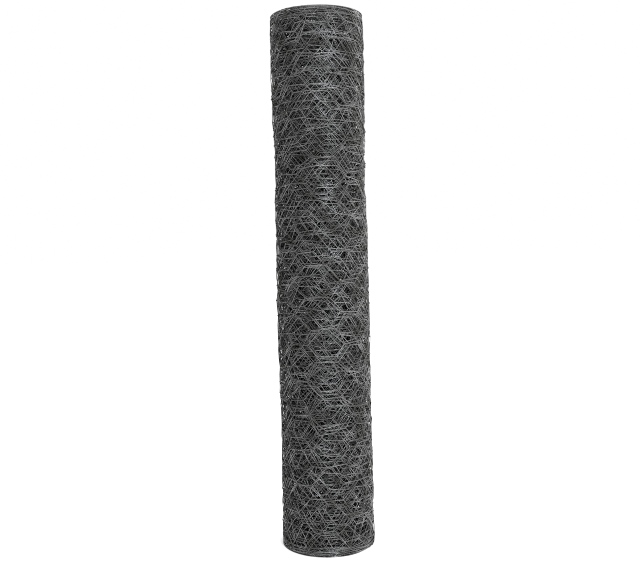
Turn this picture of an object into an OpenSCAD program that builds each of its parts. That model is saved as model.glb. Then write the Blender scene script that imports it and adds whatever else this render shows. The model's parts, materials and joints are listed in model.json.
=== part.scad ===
// Roll of galvanised hexagonal wire netting, standing on one end.
// The origin is the centre of the end it stands on, and +Z runs up the roll's axis.

/* [Roll] */
// Width of the netting, which is the height of the standing roll
netting_width = 610; // [300:5:1220]
// Outside diameter of the roll
roll_d = 106; // [90:1:140]
// Diameter of the open middle that the netting is wound round
bore_d = 30; // [20:1:50]

/* [Turns] */
// Turns of netting between the open middle and the outside
turns = 82; // [24:1:90]
// Depth of the gap that shows between two turns at each end
gap_depth = 0.8; // [0.3:0.1:2]
// Share of a turn's thickness that the mouth of the gap takes
gap_share = 0.4; // [0.2:0.05:0.6]
// Width and height of the slope where the outermost edge is knocked in
rim_slope = 0.2; // [0.05:0.05:0.25]

/* [Hidden] */
$fn = 180;

bore_r = bore_d / 2;
roll_r = roll_d / 2;
turn_pitch = (roll_r - bore_r) / turns;
half_gap = turn_pitch * gap_share / 2;

// One end's edge line from the bore outwards: each turn's selvedge is a flat
// crest, and a V-shaped gap parts it from the next turn.
function end_line() = concat(
    [[bore_r, 0]],
    [for (i = [1 : turns - 1])
        let (r = bore_r + i * turn_pitch)
        each [[r - half_gap, 0], [r, gap_depth], [r + half_gap, 0]]],
    [[roll_r - rim_slope, 0], [roll_r, rim_slope]]
);

// The same edge line at the far end, from the outside back to the bore.
function far_end_line() = [
    for (i = [len(end_line()) - 1 : -1 : 0])
        [end_line()[i][0], netting_width - end_line()[i][1]]
];

// The wound netting as one ring of its full width, open in the middle.
module netting_roll() {
    color([0.36, 0.36, 0.35])
        rotate_extrude()
            polygon(concat(end_line(), far_end_line()));
}

netting_roll();
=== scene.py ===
# A standing roll of galvanised hexagonal wire netting.
# Every strand is laid out in the flat netting first, then wound into the roll.
import json
import math

import bpy
import numpy as np
from mathutils import Matrix, Vector


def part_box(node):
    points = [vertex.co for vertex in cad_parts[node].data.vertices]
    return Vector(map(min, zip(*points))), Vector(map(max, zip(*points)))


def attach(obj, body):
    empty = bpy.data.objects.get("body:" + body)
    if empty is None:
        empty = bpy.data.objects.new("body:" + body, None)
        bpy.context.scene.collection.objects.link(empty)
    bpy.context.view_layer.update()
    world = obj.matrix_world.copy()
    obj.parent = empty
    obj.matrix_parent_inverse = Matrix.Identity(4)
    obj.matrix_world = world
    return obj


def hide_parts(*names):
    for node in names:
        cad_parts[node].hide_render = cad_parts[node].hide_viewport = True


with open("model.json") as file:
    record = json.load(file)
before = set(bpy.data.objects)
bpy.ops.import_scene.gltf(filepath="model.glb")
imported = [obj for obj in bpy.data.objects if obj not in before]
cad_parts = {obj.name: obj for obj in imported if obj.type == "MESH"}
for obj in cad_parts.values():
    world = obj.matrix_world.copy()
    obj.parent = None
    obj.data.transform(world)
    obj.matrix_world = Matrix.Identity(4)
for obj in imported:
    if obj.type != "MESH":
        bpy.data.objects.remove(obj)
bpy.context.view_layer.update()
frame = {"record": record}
mm = 0.001
fullTurn = 2 * math.pi

rollLow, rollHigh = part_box("netting_roll")
rollHeight = rollHigh.z - rollLow.z
rollRadius = (rollHigh.x - rollLow.x) / 2
boreMount = next(mount for mount in frame["record"]["mounts"] if mount["kind"] == "bore")
boreRadius = boreMount["dims"]["r_mm"] * mm
random = np.random.default_rng(25)

netting = {
    "meshesAcross": 16,         # whole meshes from selvedge to selvedge
    "wire": 0.8 * mm,
    "meshLength": 1.84,         # a mesh and the twist after it, in mesh widths
    "twistLength": 0.50,        # in mesh widths
    "bend": 0.07,               # share of a leg that its bend at each end takes
    "inFromEnd": 4.0 * mm,      # selvedge to the roll's end
}
meshWidth = (rollHeight - 2 * netting["inFromEnd"]) / netting["meshesAcross"]
rowGap = meshWidth / 2
stationGap = meshWidth * netting["meshLength"] / 2
# twists stand in rows 0 to strandCount; strand n zigzags between rows n and n + 1, one twist at each station
strandCount = 2 * netting["meshesAcross"]

winding = {
    "turns": 82,
    "innerRadius": boreRadius + netting["wire"],
    "outerRadius": rollRadius - 0.1 * mm,
    "tightening": 0.78,                 # 0 lays all turns alike, towards 1 the outermost lie closest
    "outerEndAt": math.radians(140),    # where the cut end lies, round from +X
}
# the spiral in small steps, and a little beyond both ends for the wires' tails
turnStep = 0.02
spareTurn = 0.5
turnAt = np.arange(-spareTurn, winding["turns"] + spareTurn, turnStep)
turnShare = turnAt / winding["turns"]
windingDepth = winding["outerRadius"] - winding["innerRadius"]
radiusAt = winding["innerRadius"] + windingDepth * turnShare * (1 + winding["tightening"] * (1 - turnShare))
lengthAt = np.cumsum(fullTurn * radiusAt * turnStep)
lengthAt -= np.interp(0, turnAt, lengthAt)
nettingLength = np.interp(winding["turns"], turnAt, lengthAt)
stations = int(nettingLength / stationGap)
print(f"netting laid out: {meshWidth / mm:.1f} mm mesh, {nettingLength:.2f} m long")

unevenness = {
    "twistAlong": 1.6 * mm,             # how far each twist is out of place, one by one
    "twistAcross": 0.7 * mm,
    "twistOut": 0.25 * mm,
    "twistLean": math.radians(4),
    "legBow": 0.25 * mm,
    "waveAlong": 8.0 * mm,              # and how far whole patches of netting are
    "waveAcross": 3.0 * mm,
    "waveOut": 0.25 * mm,
    "waveSize": (150 * mm, 700 * mm),
    "turnDrift": 8.0 * mm,              # turns creep to and fro along the roll
    "driftAtEnds": 0.35,                # share of that creep left at the selvedges
    "driftSize": (200 * mm, 900 * mm),
    "edgeWobble": 0.8 * mm,             # the selvedges wobble between twists
    "wobbleSize": (30 * mm, 100 * mm),
    "springOut": 0.2 * mm,              # the last turns spring out a little
    "springTurns": 2.5,
    "springRange": (-0.5, 2),           # how far in and out the spring's waves may reach
    "dent": 0.50 * mm,                  # shallow dents and bulges of the finished roll
    "dentSize": (40 * mm, 300 * mm),
    "dentSide": 1.0,                    # radians from +X to where the dents' pattern mirrors
}


# random waves in the flat netting, and how high they stand together at a place; about one either way
def waves(count, shortest, longest):
    size = np.exp(random.uniform(math.log(shortest), math.log(longest), count))
    heading = random.uniform(0, fullTurn, count)
    return {
        "alongRate": fullTurn / size * np.cos(heading),
        "acrossRate": fullTurn / size * np.sin(heading),
        "start": random.uniform(0, fullTurn, count),
        "height": np.sqrt(2 * size / size.sum()),
    }


def swell(field, along, across):
    total = 0
    for alongRate, acrossRate, start, height in zip(*field.values()):
        total = total + height * np.sin(alongRate * along + acrossRate * across + start)
    return total


alongWaves = waves(16, *unevenness["waveSize"])
acrossWaves = waves(16, *unevenness["waveSize"])
outWaves = waves(16, *unevenness["waveSize"])
springWaves = waves(16, *unevenness["waveSize"])
driftWaves = waves(8, *unevenness["driftSize"])
dentWaves = waves(24, *unevenness["dentSize"])
edgeWaves = waves(16, *unevenness["wobbleSize"])

gridSize = (strandCount + 1, stations + 1)
twistAlong = random.normal(0, unevenness["twistAlong"], gridSize)
twistAcross = random.normal(0, unevenness["twistAcross"], gridSize)
twistOut = random.normal(0, unevenness["twistOut"], gridSize)
twistLean = random.normal(0, unevenness["twistLean"], gridSize)
legBow = random.normal(0, unevenness["legBow"], (strandCount, stations + 1, 3))
for grid in (twistAcross, twistLean):
    grid[[0, -1]] = 0       # the outer rows are held straight by the selvedge wires


def woundUp(flat, margin):
    # from places in the flat netting (along, across, out) to places in the roll
    along, across, out = np.moveaxis(flat, -1, 0)
    toEdge = np.minimum(across, rollHeight - across)
    inside = np.clip(toEdge / meshWidth, 0, 1)
    atEnds = unevenness["driftAtEnds"]
    drift = unevenness["turnDrift"] * swell(driftWaves, along, 0) * (atEnds + (1 - atEnds) * inside)
    wander = unevenness["waveAcross"] * swell(acrossWaves, along, across) * inside
    wobble = unevenness["edgeWobble"] * swell(edgeWaves, along, across) * (1 - inside)
    height = np.clip(across + wander + drift + wobble, margin, rollHeight - margin)
    wound = along + unevenness["waveAlong"] * swell(alongWaves, along, across)
    turn = np.interp(wound, lengthAt, turnAt)
    angle = fullTurn * (turn - winding["turns"]) + winding["outerEndAt"]
    loose = np.clip(1 - (winding["turns"] - turn) / unevenness["springTurns"], 0, 1)
    spring = np.clip(swell(springWaves, along, across), *unevenness["springRange"])
    ripple = unevenness["waveOut"] * swell(outWaves, along, across)
    radius = np.interp(turn, turnAt, radiusAt)
    toSide = rollRadius * np.cos(angle - unevenness["dentSide"])
    dents = unevenness["dent"] * swell(dentWaves, toSide, height) * radius / rollRadius
    radius = radius + out + ripple + loose * unevenness["springOut"] * spring + dents
    return np.stack([radius * np.cos(angle), radius * np.sin(angle), height], -1)


cutEnds = {
    "tail": (6 * mm, 13 * mm),      # shortest and longest wire left past the last twist
    "tuckedIn": 2.5 * mm,           # how far a tail's tip is bent into the roll
    "splay": 1.5 * mm,
}
tailShare = np.array([0.3, 0.65, 1.0])[:, None]
tailLength = random.uniform(*cutEnds["tail"], (2, strandCount, 1, 1))
tailSplay = random.normal(0, cutEnds["splay"], (2, strandCount, 1, 1))


def tails(end, direction):
    # the wires past the last twist, as offsets from it; both ends bend into the roll
    ahead = direction * tailLength[end] * tailShare
    aside = tailSplay[end] * tailShare
    inward = np.broadcast_to(-direction * cutEnds["tuckedIn"] * tailShare ** 2, ahead.shape)
    return np.concatenate([ahead, aside, inward], -1)


def strandLines(first, last, twistSteps, twistTurns, legPoints):
    # centre lines of all the strands from one station to another, as strand, point, place
    strand = np.arange(strandCount)[:, None]
    station = np.arange(first, last + 1)[None, :]
    isBelow = (strand + station) % 2 == 0
    row = np.where(isBelow, strand, strand + 1)
    ownSide = np.where(isBelow, 1, -1)[..., None]
    station = np.broadcast_to(station, row.shape)
    lean = twistLean[row, station][..., None]
    along = (station * stationGap + twistAlong[row, station])[..., None]
    across = (netting["inFromEnd"] + row * rowGap + twistAcross[row, station])[..., None]
    out = twistOut[row, station][..., None]

    # the two wires of a twist wind round each other
    step = np.linspace(-0.5, 0.5, twistSteps + 1)
    reach = step * netting["twistLength"] * meshWidth
    around = fullTurn * twistTurns * (step + 0.5)
    offset = ownSide * netting["wire"] / 2
    twists = np.stack([
        along + reach * np.cos(lean),
        across + reach * np.sin(lean) + offset * np.cos(around),
        out + offset * np.sin(around),
    ], -1)

    # a leg leaves one twist and meets the next in line with them, and is nearly straight between
    legStart = twists[:, :-1, -1:]
    legEnd = twists[:, 1:, :1]
    span = np.linalg.norm(legEnd - legStart, axis=-1, keepdims=True)
    slope = (legEnd - legStart) / span
    heading = np.stack([np.cos(lean), np.sin(lean), 0 * lean], -1)
    share = np.array(legPoints)[:, None]
    bend = netting["bend"]
    fromStart = span * share * np.exp(-share / bend)
    fromEnd = span * (1 - share) * np.exp(-(1 - share) / bend)
    legs = legStart + (legEnd - legStart) * share
    legs += (heading[:, :-1] - slope) * fromStart - (heading[:, 1:] - slope) * fromEnd
    legs += legBow[:, first:last, None] * (4 * share * (1 - share))

    lines = np.concatenate([twists[:, :-1], legs], 2).reshape(strandCount, -1, 3)
    if first == 0:
        startTails = twists[:, 0, :1] + tails(0, -1)[:, 0]
        lines = np.concatenate([startTails[:, ::-1], lines], 1)
    if last < stations:
        return np.concatenate([lines, twists[:, -1, :1]], 1)
    return np.concatenate([lines, twists[:, -1], twists[:, -1, -1:] + tails(1, 1)[:, 0]], 1)


stripMargin = 0.04      # in shares of a strip's width
endSpot = 0.4           # radius of a wire end's spot, in the same shares


def roundWires(name, flatLines, thickness, sides, finish):
    # one mesh of round wires with closed ends, along lines that all have the same number of points
    points = woundUp(flatLines, thickness / 2)
    count, length = points.shape[:2]
    forward = np.gradient(points, axis=1)
    forward /= np.linalg.norm(forward, axis=-1, keepdims=True)
    sideways = np.cross(forward, points * (1, 1, 0))
    sideways /= np.linalg.norm(sideways, axis=-1, keepdims=True)
    outward = np.cross(sideways, forward)
    corner = np.arange(sides) * fullTurn / sides
    rings = np.cos(corner)[:, None] * outward[:, :, None] + np.sin(corner)[:, None] * sideways[:, :, None]
    rings = points[:, :, None] + thickness / 2 * rings

    ringAt = (np.arange(count)[:, None] * length + np.arange(length - 1)).reshape(-1, 1) * sides
    this = np.arange(sides)
    following = np.roll(this, -1)
    quads = np.stack([this, following, following + sides, this + sides], -1) + ringAt[..., None]
    startAt = np.arange(count)[:, None] * length * sides
    endAt = startAt + (length - 1) * sides
    caps = np.concatenate([startAt + this[::-1], endAt + this])
    faceSizes = np.concatenate([np.full(quads.size // 4, 4), np.full(len(caps), sides)])

    mesh = bpy.data.meshes.new(name)
    mesh.vertices.add(rings.size // 3)
    mesh.vertices.foreach_set("co", rings.astype(np.float32).ravel())
    mesh.loops.add(int(faceSizes.sum()))
    mesh.loops.foreach_set("vertex_index", np.concatenate([quads.ravel(), caps.ravel()]).astype(np.int32))
    mesh.polygons.add(len(faceSizes))
    mesh.polygons.foreach_set("loop_start", (np.cumsum(faceSizes) - faceSizes).astype(np.int32))
    mesh.update(calc_edges=True)
    mesh.polygons.foreach_set("use_smooth", np.ones(len(faceSizes), bool))

    # the wires' skin unrolled into strips side by side, with a small round spot for each wire end;
    # both stay clear of their neighbours by a margin
    spots = len(ringAt) + len(caps)
    columns = math.ceil(math.sqrt(spots / sides))
    spotRows = math.ceil(spots / columns)
    column, spotRow = np.divmod(np.arange(spots), spotRows)
    acrossStrip = stripMargin + (1 - 2 * stripMargin) * np.stack([this, this + 1, this + 1, this], -1) / sides
    alongStrip = np.broadcast_to((0, 0, 1, 1), acrossStrip.shape)
    strips = np.stack([
        (column[:len(ringAt), None, None] + acrossStrip) / columns,
        (spotRow[:len(ringAt), None, None] + alongStrip) / spotRows,
    ], -1)
    ends = np.stack([
        (column[len(ringAt):, None] + 0.5 + endSpot * np.cos(corner)) / columns,
        (spotRow[len(ringAt):, None] + 0.5 + endSpot * np.sin(corner)) / spotRows,
    ], -1)
    skin = mesh.uv_layers.new(name="OFBake")
    skin.uv.foreach_set("vector", np.concatenate([strips.ravel(), ends.ravel()]).astype(np.float32))

    mesh.materials.append(finish)
    piece = bpy.data.objects.new(name, mesh)
    bpy.context.scene.collection.objects.link(piece)
    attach(piece, "root")
    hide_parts("netting_roll")
    print(f"{name}: {count} wires, {quads.size // 2 + len(caps) * (sides - 2)} triangles")


zincFinish = {
    "brightColor": (0.295, 0.295, 0.3, 1),
    "dullColor": (0.128, 0.128, 0.122, 1),
    "patchesPerMetre": 70,        # patches of patina
    "patchDetail": 5,
    "patchEdge": (0.35, 0.62),    # values of the patina's noise where the colour is all dull, and all bright
    "innerShade": 0.3,            # share of the colour left deep in the roll, under painted shade
    "shadeCurve": 1.2,
    "shadeFrom": 0.60,            # shares of the roll's radius where the painted shade is fullest, and where it ends
    "shadeTo": 0.99,
    "unshadedEnds": 30 * mm,         # length over which the painted shade fades out towards either end
    "metallic": 0.9,
    "roughness": (0.36, 0.58),
    "noiseRange": (0.3, 0.7),     # where most of any noise lies
    "grainsPerMetre": 1500,       # grain of the zinc coat
    "grainDetail": 2,
    "grainDepth": 0.03 * mm,
    "grainMottle": 0.2,           # how much the grain varies the colour
}


def galvanisedWire():
    material = bpy.data.materials.new("galvanisedWire")
    material.use_nodes = True
    nodes = material.node_tree.nodes
    links = material.node_tree.links
    shader = nodes["Principled BSDF"]
    shader.inputs["Metallic"].default_value = zincFinish["metallic"]
    place = nodes.new("ShaderNodeTexCoord").outputs["Object"]

    def noise(perMetre, detail):
        node = nodes.new("ShaderNodeTexNoise")
        node.inputs["Scale"].default_value = perMetre
        node.inputs["Detail"].default_value = detail
        links.new(place, node.inputs["Vector"])
        return node.outputs["Fac"]

    def mapRange(value, fromLow, fromHigh, toLow=0, toHigh=1):
        node = nodes.new("ShaderNodeMapRange")
        node.inputs["From Min"].default_value = fromLow
        node.inputs["From Max"].default_value = fromHigh
        node.inputs["To Min"].default_value = toLow
        node.inputs["To Max"].default_value = toHigh
        links.new(value, node.inputs["Value"])
        return node.outputs["Result"]

    patina = noise(zincFinish["patchesPerMetre"], zincFinish["patchDetail"])
    grain = noise(zincFinish["grainsPerMetre"], zincFinish["grainDetail"])

    # bright zinc with dull patches
    color = nodes.new("ShaderNodeMix")
    color.data_type = "RGBA"
    color.inputs["A"].default_value = zincFinish["dullColor"]
    color.inputs["B"].default_value = zincFinish["brightColor"]
    links.new(mapRange(patina, *zincFinish["patchEdge"]), color.inputs["Factor"])

    # painted shade: darker towards the roll's middle, fading out at its two ends
    flat = nodes.new("ShaderNodeVectorMath")
    flat.operation = "MULTIPLY"
    flat.inputs[1].default_value = (1, 1, 0)
    links.new(place, flat.inputs[0])
    radius = nodes.new("ShaderNodeVectorMath")
    radius.operation = "LENGTH"
    links.new(flat.outputs["Vector"], radius.inputs[0])
    depth = nodes.new("ShaderNodeMath")
    depth.operation = "POWER"
    fullShadeRadius = rollRadius * zincFinish["shadeFrom"]
    unshadedRadius = rollRadius * zincFinish["shadeTo"]
    links.new(mapRange(radius.outputs["Value"], fullShadeRadius, unshadedRadius), depth.inputs[0])
    depth.inputs[1].default_value = zincFinish["shadeCurve"]
    height = nodes.new("ShaderNodeSeparateXYZ")
    links.new(place, height.inputs[0])
    fromBottom = mapRange(height.outputs["Z"], 0, zincFinish["unshadedEnds"], 1, 0)
    fromTop = mapRange(height.outputs["Z"], rollHeight - zincFinish["unshadedEnds"], rollHeight)
    unshaded = depth.outputs["Value"]
    for end in (fromBottom, fromTop):
        larger = nodes.new("ShaderNodeMath")
        larger.operation = "MAXIMUM"
        links.new(unshaded, larger.inputs[0])
        links.new(end, larger.inputs[1])
        unshaded = larger.outputs["Value"]
    # the painted shade, times the grain's own mottle
    shade = nodes.new("ShaderNodeMath")
    shade.operation = "MULTIPLY"
    mottle = zincFinish["grainMottle"]
    links.new(mapRange(unshaded, 0, 1, zincFinish["innerShade"], 1), shade.inputs[0])
    links.new(mapRange(grain, *zincFinish["noiseRange"], 1 - mottle, 1 + mottle), shade.inputs[1])
    shaded = nodes.new("ShaderNodeVectorMath")
    shaded.operation = "SCALE"
    links.new(color.outputs["Result"], shaded.inputs[0])
    links.new(shade.outputs["Value"], shaded.inputs["Scale"])
    links.new(shaded.outputs["Vector"], shader.inputs["Base Color"])

    smoothest, roughest = zincFinish["roughness"]
    worn = mapRange(patina, *zincFinish["noiseRange"], roughest, smoothest)
    links.new(worn, shader.inputs["Roughness"])
    bump = nodes.new("ShaderNodeBump")
    bump.inputs["Distance"].default_value = zincFinish["grainDepth"]
    links.new(grain, bump.inputs["Height"])
    links.new(bump.outputs["Normal"], shader.inputs["Normal"])
    return material


zinc = galvanisedWire()
# name, from and to as a share of the turns, sides, steps in a twist, its turns, points along a leg
bands = [
    ("innerTurns", 0.0, 0.45, 3, 2, 1, [0.5]),
    ("deepTurns", 0.45, 0.70, 3, 4, 1, [0.5]),
    ("middleTurns", 0.70, 0.86, 3, 5, 1, [0.1, 0.9]),
    ("upperTurns", 0.86, 0.95, 4, 8, 2, [0.1, 0.9]),
    ("outerTurns", 0.95, 1.0, 5, 10, 2, [0.06, 0.5, 0.94]),
]


def stationAt(share):
    return round(stations * np.interp(share * winding["turns"], turnAt, lengthAt) / nettingLength)


for name, fromShare, toShare, sides, twistSteps, twistTurns, legPoints in bands:
    lines = strandLines(stationAt(fromShare), stationAt(toShare), twistSteps, twistTurns, legPoints)
    roundWires(name, lines, netting["wire"], sides, zinc)

selvedge = {
    "wire": 0.9 * mm,
    "step": 8 * mm,
    "sides": 4,
}
selvedgeAlong = np.arange(0, nettingLength, selvedge["step"])
selvedgeLines = np.stack([
    np.stack([selvedgeAlong, np.full_like(selvedgeAlong, across), 0 * selvedgeAlong], -1)
    for across in (netting["inFromEnd"], rollHeight - netting["inFromEnd"])
])
roundWires("selvedgeWires", selvedgeLines, selvedge["wire"], selvedge["sides"], zinc)

studio = {
    "roomLight": 0.12,            # how much light the white room gives
    "roomColor": (1.0, 0.99, 0.96, 1),
    "backdrop": (1.0, 1.0, 1.0, 1),
    "floorColor": (0.9, 0.9, 0.9, 1),
    "floorRoughness": 0.9,
    "floorGlow": 1.1,             # the floor is a lit table
    "shadowFrom": 0.8,            # shares of the roll's radius where the glow under it starts, and is whole; a painted shadow under the roll
    "shadowTo": 1.15,
    "floorSize": 30,
}
# name, place, size, power, colour; all aim at the roll's middle
lamps = [
    ("frontLight", (0.35, -1.1, 0.75), 0.3, 8.3, (0.95, 0.98, 1.0)),
    ("rightLight", (1.0, 0.1, 0.6), 0.5, 3.5, (1.0, 0.99, 0.95)),
    ("topLight", (0.2, -0.1, 1.5), 0.6, 4, (1.0, 1.0, 1.0)),
]


def paleFloor():
    material = bpy.data.materials.new("paleFloor")
    material.use_nodes = True
    nodes = material.node_tree.nodes
    links = material.node_tree.links
    shader = nodes["Principled BSDF"]
    shader.inputs["Base Color"].default_value = studio["floorColor"]
    shader.inputs["Roughness"].default_value = studio["floorRoughness"]
    shader.inputs["Emission Color"].default_value = studio["floorColor"]
    fromMiddle = nodes.new("ShaderNodeVectorMath")
    fromMiddle.operation = "LENGTH"
    links.new(nodes.new("ShaderNodeTexCoord").outputs["Object"], fromMiddle.inputs[0])
    # painted shadow: the floor's glow fades out under the roll
    glow = nodes.new("ShaderNodeMapRange")
    glow.inputs["From Min"].default_value = rollRadius * studio["shadowFrom"]
    glow.inputs["From Max"].default_value = rollRadius * studio["shadowTo"]
    glow.inputs["To Max"].default_value = studio["floorGlow"]
    links.new(fromMiddle.outputs["Value"], glow.inputs["Value"])
    links.new(glow.outputs["Result"], shader.inputs["Emission Strength"])
    half = studio["floorSize"] / 2
    mesh = bpy.data.meshes.new("floor")
    corners = [(-half, -half, 0), (half, -half, 0), (half, half, 0), (-half, half, 0)]
    mesh.from_pydata(corners, [], [(0, 1, 2, 3)])
    mesh.materials.append(material)
    floor = bpy.data.objects.new("floor", mesh)
    bpy.context.scene.collection.objects.link(floor)


def lightStudio():
    world = bpy.data.worlds.new("studio")
    world.use_nodes = True
    nodes = world.node_tree.nodes
    links = world.node_tree.links
    room = nodes["Background"]
    room.inputs["Color"].default_value = studio["roomColor"]
    room.inputs["Strength"].default_value = studio["roomLight"]
    seen = nodes.new("ShaderNodeBackground")
    seen.inputs["Color"].default_value = studio["backdrop"]
    rays = nodes.new("ShaderNodeLightPath")
    choose = nodes.new("ShaderNodeMixShader")
    links.new(rays.outputs["Is Camera Ray"], choose.inputs["Fac"])
    links.new(room.outputs["Background"], choose.inputs[1])
    links.new(seen.outputs["Background"], choose.inputs[2])
    links.new(choose.outputs["Shader"], nodes["World Output"].inputs["Surface"])
    bpy.context.scene.world = world
    aim = Vector((0, 0, rollHeight / 2))
    for name, place, size, power, color in lamps:
        data = bpy.data.lights.new(name, "AREA")
        data.size = size
        data.energy = power
        data.color = color
        lamp = bpy.data.objects.new(name, data)
        lamp.location = place
        lamp.rotation_euler = (aim - Vector(place)).to_track_quat("-Z", "Y").to_euler()
        bpy.context.scene.collection.objects.link(lamp)


camera = {
    "distance": 0.978,
    "height": 0.352,
    "lens": 47.3,
    "shift": -0.0336,
    "down": math.radians(1.3),
    "turn": math.radians(0.15),
    "lean": math.radians(1.42),
}


def placeCamera():
    data = bpy.data.cameras.new("camera")
    data.sensor_width = 36
    data.lens = camera["lens"]
    data.shift_y = camera["shift"]
    holder = bpy.data.objects.new("camera", data)
    bpy.context.scene.collection.objects.link(holder)
    holder.location = (0, -camera["distance"], camera["height"])
    aim = Matrix.Rotation(camera["turn"], 4, "Z")
    aim = aim @ Matrix.Rotation(math.pi / 2 - camera["down"], 4, "X")
    aim = aim @ Matrix.Rotation(-camera["lean"], 4, "Z")
    holder.rotation_euler = aim.to_euler()
    bpy.context.scene.camera = holder


paleFloor()
lightStudio()
placeCamera()
bpy.context.scene.view_settings.view_transform = "Standard"
bpy.context.scene.cycles.use_denoising = False      # it smears thin wires
bpy.context.scene.cycles.filter_width = 1.0         # and a narrow filter keeps them crisp
print("studio and camera placed")
